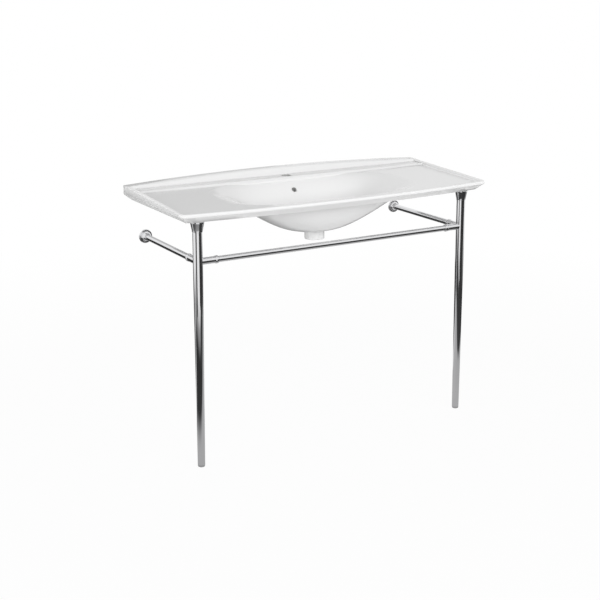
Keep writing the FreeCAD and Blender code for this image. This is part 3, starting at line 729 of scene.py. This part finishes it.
@dataclass
class Leg:
    """One leg: tapered tube, flared cup and levelling foot."""

    side: Side
    paint: Paintbox
    wall: float = 1.5 * MM
    foot_radius: float = 12.25 * MM
    taper_top: float = 655 * MM
    cup_neck: float = 17.2 * MM
    cup_bead: float = 3 * MM
    cup_play: float = 0.05 * MM
    cup_web: float = 5 * MM
    lip_steps: int = 5
    flare_steps: int = 8
    flare_power: float = 1.12
    disc_height: float = 3.5 * MM
    foot_edge: float = 1 * MM
    stem_radius: float = 4 * MM
    glide_edge: float = 0.5 * MM

    def build(self) -> None:
        """Build the pieces on this leg's axis."""
        self.tube()
        self.cup()
        self.levelling_foot()
        self.glide()

    def axis(self) -> Vector:
        """Foot of the leg's axis on the floor."""
        centre = middle(self.side.node("leg_tube"))
        return Vector((centre.x, centre.y, 0))

    def tube(self) -> None:
        """Drawn tube, straight at the rails and tapering to the foot, with a rolled lower edge."""
        node = self.side.node("leg_tube")
        low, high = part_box(node)
        top = round_radius(node)
        outline = quarter(self.foot_radius, low.z, self.wall / 2)
        outline += [(top, self.taper_top), (top, high.z), (top - self.wall, high.z)]
        outline += [(top - self.wall, self.taper_top), (self.foot_radius - self.wall, low.z)]
        piece = lathe(self.side.node("leg_tube_skin"), outline)
        lay(piece, self.axis(), UP)
        finish_piece(piece, node, "stand", Slot.CHROME, self.paint)

    def cup(self) -> None:
        """Spun cup: short neck, almost straight flare and a rounded mouth under the rim."""
        node = self.side.node("leg_cup")
        low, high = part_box(node)
        mouth = round_radius(node)
        bore = round_radius(self.side.node("leg_tube")) + self.cup_play
        web_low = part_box(self.side.node("leg_tube"))[1].z
        web_high = web_low + self.cup_web
        stud_hole = bore / 3
        lip = self.cup_bead / 2
        pocket = mouth - 2 * self.cup_bead
        outline = [(bore, low.z)]
        outline += quarter(self.cup_neck, low.z, self.cup_bead / 3)
        outline += self.flare(low.z + self.cup_bead, high.z - self.cup_bead, mouth)
        outline += arc((mouth - lip, high.z - lip), lip, 0, 90, self.lip_steps)
        outline += [(pocket, high.z), (pocket, web_high), (stud_hole, web_high)]
        outline += [(stud_hole, web_low), (bore, web_low)]
        piece = lathe(self.side.node("leg_cup_skin"), outline)
        lay(piece, self.axis(), UP)
        finish_piece(piece, node, "stand", Slot.CHROME, self.paint)

    def flare(self, low: float, high: float, mouth: float) -> Outline:
        """Nearly straight curve from the cup's neck to its mouth.

        Args:
            low: Height where the flare starts.
            high: Height where it reaches the mouth.
            mouth: Radius of the mouth.

        Returns:
            (radius, height) points.
        """
        points = []
        for step in range(self.flare_steps + 1):
            share = step / self.flare_steps
            rise = low + (high - low) * share
            points.append((self.cup_neck + (mouth - self.cup_neck) * share**self.flare_power, rise))
        return points

    def levelling_foot(self) -> None:
        """Turned foot disc with its stem."""
        node = self.side.node("levelling_foot")
        low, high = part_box(node)
        disc = round_radius(node)
        stem = self.stem_radius
        shoulder = low.z + self.disc_height
        outline = quarter(disc, low.z, self.foot_edge)
        outline += [(disc, shoulder), (stem, shoulder)]
        outline += [(stem, high.z - self.foot_edge), (stem - self.foot_edge, high.z)]
        piece = lathe(self.side.node("levelling_foot_skin"), outline, capped=True)
        lay(piece, self.axis(), UP)
        finish_piece(piece, node, self.side.node("foot"), Slot.CHROME, self.paint)

    def glide(self) -> None:
        """Rubber disc under the foot."""
        node = self.side.node("foot_glide")
        low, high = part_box(node)
        rim = round_radius(node)
        outline = quarter(rim, low.z, self.glide_edge) + [(rim, high.z)]
        piece = lathe(self.side.node("foot_glide_skin"), outline, capped=True)
        lay(piece, self.axis(), UP)
        finish_piece(piece, node, self.side.node("foot"), Slot.RUBBER, self.paint)


# ---- rails, sockets and flanges ---------------------------------------------------------------


@dataclass
class RailEnd:
    """A socket on a leg with its bead ring."""

    side: Side
    kind: RailKind
    direction: Vector
    paint: Paintbox
    bore: float = 10.15 * MM
    depth: float = 24 * MM
    edge: float = 0.5 * MM
    bead_steps: int = 12

    def build(self) -> None:
        """Build the socket and its ring."""
        leg = middle(self.side.node("leg_tube"))
        socket = middle(self.side.node(f"{self.kind.value}_socket"))
        start = Vector((leg.x, leg.y, socket.z))
        self.socket(start)
        self.ring(start)

    def reach(self, node: str, start: Vector) -> tuple[float, float]:
        """How far a node's ends are from the leg's axis, along the socket.

        Args:
            node: CAD node on this socket.
            start: Point on the leg's axis.

        Returns:
            The nearer and the further distance.
        """
        low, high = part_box(node)
        ends = sorted([(low - start).dot(self.direction), (high - start).dot(self.direction)])
        return ends[0], ends[1]

    def socket(self, start: Vector) -> None:
        """Stub saddled on the leg, with an eased mouth.

        Args:
            start: Point on the leg's axis.
        """
        node = self.side.node(f"{self.kind.value}_socket")
        outside = round_radius(node, "z")
        end = self.reach(node, start)[1]
        vent = self.bore / 8
        outline = [(outside, 0), (outside, end - self.edge), (outside - self.edge, end)]
        outline += [(self.bore, end), (self.bore, self.depth), (vent, self.depth), (vent, 0)]
        piece = lathe(self.side.node(f"{self.kind.value}_socket_skin"), outline)
        lay(piece, start, self.direction)
        leg_radius = round_radius(self.side.node("leg_tube"))
        saddle_height = 4 * leg_radius
        cut_round(piece, leg_radius, saddle_height, start, UP)
        finish_piece(piece, node, "stand", Slot.CHROME, self.paint)

    def ring(self, start: Vector) -> None:
        """Bead ring round the socket's mouth: a zone of a ball.

        Args:
            start: Point on the leg's axis.
        """
        node = self.side.node(f"{self.kind.value}_ring")
        near, far = self.reach(node, start)
        ball = round_radius(node, "z")
        half = (far - near) / 2
        centre = (near + far) / 2
        tilt = math.degrees(math.asin(half / ball))
        inside = round_radius(self.side.node(f"{self.kind.value}_socket"), "z")
        bead = arc((0, centre), ball, -tilt, tilt, self.bead_steps)
        outline = [(inside, near), *bead, (inside, far)]
        piece = lathe(self.side.node(f"{self.kind.value}_ring_skin"), outline)
        lay(piece, start, self.direction)
        finish_piece(piece, node, "stand", Slot.CHROME, self.paint)


@dataclass
class Rail:
    """A plain rail tube."""

    node: str
    direction: Vector
    paint: Paintbox
    wall: float = 1.2 * MM

    def build(self) -> None:
        """Build the tube from end to end of its CAD node."""
        low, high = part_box(self.node)
        start = middle(self.node)
        length = abs((high - low).dot(self.direction))
        radius = round_radius(self.node, "z")
        inside = radius - self.wall
        outline = [(radius, 0), (radius, length), (inside, length), (inside, 0)]
        piece = lathe(f"{self.node}_skin", outline)
        lay(piece, start - self.direction * length / 2, self.direction)
        finish_piece(piece, self.node, "stand", Slot.CHROME, self.paint)


@dataclass
class WallFlange:
    """Domed cover on a side rail against the wall."""

    side: Side
    paint: Paintbox
    rim_height: float = 5 * MM
    wall: float = 1.5 * MM
    dome: float = 17.5 * MM
    nose: float = 12 * MM
    step: float = 1 * MM
    bore: float = 10.15 * MM
    rim_steps: int = 6
    dome_steps: int = 12

    def build(self) -> None:
        """Build the cover: flat rim, step, dome and nose round the rail."""
        node = self.side.node("wall_flange")
        low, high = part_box(node)
        rim = round_radius(node)
        depth = high.y - low.y
        shoulder = self.rim_height + self.step
        top = depth - self.step
        drop = ((top - shoulder) ** 2 + self.nose**2 - self.dome**2) / (2 * (top - shoulder))
        centre = (0.0, shoulder + drop)
        ball = math.hypot(self.dome, drop)
        first = math.degrees(math.atan2(-drop, self.dome))
        last = math.degrees(math.atan2(top - centre[1], self.nose))
        edge = self.rim_height / 2
        outline = [(rim - self.wall, 0), (rim, 0)]
        outline += arc((rim - edge, self.rim_height - edge), edge, 0, 90, self.rim_steps)
        outline += [(self.dome + self.step, self.rim_height)]
        outline += arc(centre, ball, first, last, self.dome_steps)
        outline += arc((self.nose - self.step, top), self.step, 0, 90, EDGE_STEPS)
        inner = self.dome - 2 * self.wall
        inside = self.rim_height - self.wall
        collar = depth - 2 * self.wall
        outline += [(self.bore, depth), (self.bore, collar), (inner, shoulder + self.step)]
        outline += [(inner, inside), (rim - self.wall, inside)]
        piece = lathe(self.side.node("wall_flange_skin"), outline)
        centre_line = middle(node)
        lay(piece, Vector((centre_line.x, high.y, centre_line.z)), TO_FRONT)
        finish_piece(piece, node, self.side.node("flange"), Slot.CHROME, self.paint)


# ---- the studio -------------------------------------------------------------------------------


@dataclass(frozen=True)
class SoftBox:
    """An area light aimed at a point."""

    name: str
    place: Place
    width: float
    height: float
    watts: float
    aim: Place = (0.0, 0.0, 0.75)

    def build(self) -> None:
        """Put the light in the scene. Mirrors don't show it."""
        data = bpy.data.lights.new(self.name, "AREA")
        data.shape = "RECTANGLE"
        data.size = self.width
        data.size_y = self.height
        data.energy = self.watts
        lamp = bpy.data.objects.new(self.name, data)
        bpy.context.scene.collection.objects.link(lamp)
        lamp.visible_glossy = False
        lamp.location = self.place
        way = Vector(self.aim) - Vector(self.place)
        lamp.rotation_euler = way.to_track_quat("-Z", "Y").to_euler()


@dataclass(frozen=True)
class Card:
    """An upright card that only mirrors see: it gives the chrome its dark lines.

    It stands on a circle round the sink, at a bearing in degrees from the front towards +X.
    """

    name: str
    bearing: float
    distance: float
    width: float
    height: float
    colour: str

    def build(self) -> None:
        """Stand the card on the floor, facing the sink."""
        clear_selection()
        turn = math.radians(self.bearing)
        bpy.ops.mesh.primitive_plane_add(size=1)
        card = bpy.context.object
        card.name = self.name
        card.scale = (self.width, self.height, 1)
        card.rotation_euler = (math.radians(90), 0, turn)
        x, y = math.sin(turn) * self.distance, -math.cos(turn) * self.distance
        card.location = (x, y, self.height / 2)
        material, tree = new_material(f"{self.name}_cloth")
        glow = add_node(tree, "ShaderNodeEmission", {"Color": linear(self.colour)})
        add_node(tree, "ShaderNodeOutputMaterial", links={"Surface": glow.outputs[0]})
        show_to_mirrors(card, material)


@dataclass(frozen=True)
class FloorCard:
    """An oval card on the floor that only mirrors see, shaded in rings.

    Each ring is a share of the way from the centre to the edge, with its colour.
    """

    name: str
    centre: Point
    lift: float
    radius: float
    depth_share: float
    rings: tuple[tuple[float, str], ...]

    def build(self) -> None:
        """Lay the card just above the floor."""
        clear_selection()
        bpy.ops.mesh.primitive_circle_add(
            vertices=SEGMENTS,
            radius=self.radius,
            fill_type="NGON",
            location=(*self.centre, self.lift),
        )
        card = bpy.context.object
        card.name = self.name
        bpy.ops.transform.resize(value=(1, self.depth_share, 1))
        material, tree = new_material(f"{self.name}_cloth")
        far = from_centre(tree)
        share = add_node(tree, "ShaderNodeMath", {1: self.radius}, {0: far}, operation="DIVIDE")
        ramp = add_node(tree, "ShaderNodeValToRGB", links={0: share.outputs[0]})
        ramp.color_ramp.interpolation = "EASE"
        stops = ramp.color_ramp.elements
        stops[0].position, stops[1].position = self.rings[0][0], self.rings[-1][0]
        stops[0].color, stops[1].color = linear(self.rings[0][1]), linear(self.rings[-1][1])
        for position, colour in self.rings[1:-1]:
            stops.new(position).color = linear(colour)
        glow = add_node(tree, "ShaderNodeEmission", links={"Color": ramp.outputs[0]})
        add_node(tree, "ShaderNodeOutputMaterial", links={"Surface": glow.outputs[0]})
        show_to_mirrors(card, material)


def from_centre(tree: bpy.types.NodeTree) -> bpy.types.NodeSocket:
    """Measure how far a place is from the middle of the studio piece that the material is on.

    Args:
        tree: Node tree of the material.

    Returns:
        The distance's value socket.
    """
    place = add_node(tree, "ShaderNodeTexCoord").outputs["Object"]
    length = add_node(tree, "ShaderNodeVectorMath", links={0: place}, operation="LENGTH")
    return length.outputs["Value"]


def show_to_mirrors(card: bpy.types.Object, material: bpy.types.Material) -> None:
    """Dress a card, and hide it from the camera and from light, so that only mirrors show it.

    Args:
        card: Card of the studio.
        material: Its glowing cloth.
    """
    card.data.materials.append(material)
    card.visible_camera = False
    card.visible_diffuse = False
    card.visible_shadow = False
    card.visible_transmission = False


@dataclass
class Studio:
    """Floor, background, lights and the camera at the photograph's angle."""

    floor_size: float = 60.0
    floor_colour: str = "#DEDEDE"
    floor_glow: float = 0.95
    floor_fade: tuple[float, float] = (1.2, 3.0)
    sky_level: float = 0.45
    camera_place: Place = (-2.0862, -3.4820, 1.6156)
    camera_yaw: float = 30.341
    camera_pitch: float = 11.672
    lens_mm: float = 70.91
    sensor_mm: float = 36.0
    shift_y: float = -0.15

    def build(self) -> None:
        """Build the studio."""
        self.world()
        self.floor()
        self.lights()
        self.camera()
        bpy.context.scene.view_settings.view_transform = "Standard"

    def seen(self, tree: bpy.types.NodeTree) -> bpy.types.NodeSocket:
        """Tell the rays that show the background, which are camera, mirror and glass rays.

        Args:
            tree: Node tree of the floor's material or the world.

        Returns:
            A value socket, 1 for those rays and 0 for the rest.
        """
        path = add_node(tree, "ShaderNodeLightPath").outputs
        sight = path["Is Camera Ray"]
        for kind in ("Is Glossy Ray", "Is Transmission Ray"):
            pair = {0: sight, 1: path[kind]}
            sight = add_node(tree, "ShaderNodeMath", links=pair, operation="MAXIMUM").outputs[0]
        return sight

    def world(self) -> None:
        """White surroundings to the eye, and a softer even level as light."""
        world = bpy.data.worlds.new("white_studio")
        bpy.context.scene.world = world
        world.use_nodes = True
        tree = world.node_tree
        tree.nodes.clear()
        seen = {"Value": self.seen(tree)}
        level = add_node(tree, "ShaderNodeMapRange", {"To Min": self.sky_level}, seen)
        strength = {"Strength": level.outputs[0]}
        white = add_node(tree, "ShaderNodeBackground", {"Color": WHITE}, strength)
        add_node(tree, "ShaderNodeOutputWorld", links={"Surface": white.outputs[0]})

    def floor(self) -> None:
        """Plain pale floor, white to the eye, that keeps a faint shadow near the sink."""
        clear_selection()
        bpy.ops.mesh.primitive_plane_add(size=self.floor_size)
        floor = bpy.context.object
        floor.name = "pale_floor"
        material, tree = new_material("pale_floor_paint")
        paint = add_node(tree, "ShaderNodeBsdfDiffuse", {"Color": linear(self.floor_colour)})
        glow = add_node(tree, "ShaderNodeEmission", {"Color": WHITE})
        near, far = self.floor_fade
        fade = add_node(
            tree,
            "ShaderNodeMapRange",
            {"From Min": near, "From Max": far, "To Min": self.floor_glow},
            {"Value": from_centre(tree)},
        )
        share = add_node(
            tree,
            "ShaderNodeMath",
            links={0: self.seen(tree), 1: fade.outputs[0]},
            operation="MULTIPLY",
        )
        mix = add_node(
            tree,
            "ShaderNodeMixShader",
            links={0: share.outputs[0], 1: paint.outputs[0], 2: glow.outputs[0]},
        )
        add_node(tree, "ShaderNodeOutputMaterial", links={"Surface": mix.outputs[0]})
        floor.data.materials.append(material)

    def lights(self) -> None:
        """Soft boxes, and the grey cards that the chrome and the deck mirror."""
        # The dark rings are the dark lines that the chrome shows, and the pale rim meets the floor.
        far_rings = (
            (0.00, "#C0C0C0"),
            (0.24, "#B8B8B8"),
            (0.33, "#3A3A3A"),
            (0.52, "#363636"),
            (0.70, "#9A9A9A"),
            (0.84, "#D8D8D8"),
            (0.97, "#F6F6F6"),
        )
        back_rings = ((0.0, "#404040"), (0.6, "#484848"), (0.97, "#F0F0F0"))
        front_rings = ((0.0, "#3A3A3A"), (0.97, "#464646"))
        # Name, place, width, height and watts.
        boxes = [
            SoftBox("left_box", (-3.4, 0.2, 1.25), 2.0, 1.0, 34),
            SoftBox("front_box", (0.2, -4.0, 2.2), 2.8, 1.8, 104),
            SoftBox("back_box", (0.6, 3.0, 1.7), 1.8, 1.2, 26),
        ]
        # Name, centre, lift over the floor, radius, depth as a share of the radius, and rings.
        floor_cards = [
            FloorCard("floor_card", (0.25, -0.1), 2 * MM, 3.6, 0.52, far_rings),
            FloorCard("rail_card", (0.0, 1.25), 4 * MM, 2.6, 0.42, back_rings),
            FloorCard("near_card", (0.42, -1.15), 6 * MM, 0.75, 0.7, front_rings),
        ]
        # Name, bearing, distance, width, height and colour.
        cards = [
            Card("back_card", 176, 2.0, 1.6, 1.8, "#CBCBCB"),
            Card("right_card", 28, 1.5, 2.3, 0.8, "#3A3A3A"),
            Card("narrow_card", -62, 2.0, 0.75, 0.8, "#444444"),
            Card("left_back_card", -156, 1.9, 1.9, 0.68, "#333333"),
        ]
        for item in boxes + floor_cards + cards:
            item.build()

    def camera(self) -> None:
        """Camera at the photograph's place, fitted to the sink's outline."""
        data = bpy.data.cameras.new("photo_camera")
        data.lens = self.lens_mm
        data.sensor_width = self.sensor_mm
        data.shift_y = self.shift_y
        eye = bpy.data.objects.new("photo_camera", data)
        bpy.context.scene.collection.objects.link(eye)
        eye.location = self.camera_place
        pitch = math.radians(90 - self.camera_pitch)
        eye.rotation_euler = (pitch, 0, -math.radians(self.camera_yaw))
        bpy.context.scene.camera = eye


def main() -> None:
    """Build and dress the sink and its studio."""
    logging.basicConfig(level=logging.INFO, format="%(name)s: %(message)s")
    paint = Paintbox()
    paint.dress_cad()
    Basin(paint).build()
    for side in Side:
        Leg(side, paint).build()
        RailEnd(side, RailKind.FRONT, Vector((-side.value, 0, 0)), paint).build()
        RailEnd(side, RailKind.SIDE, TO_WALL, paint).build()
        Rail(side.node("side_rail"), TO_WALL, paint).build()
        WallFlange(side, paint).build()
    Rail("front_rail", ACROSS, paint).build()
    Studio().build()
    clear_selection()


if __name__ == "__main__":
    main()
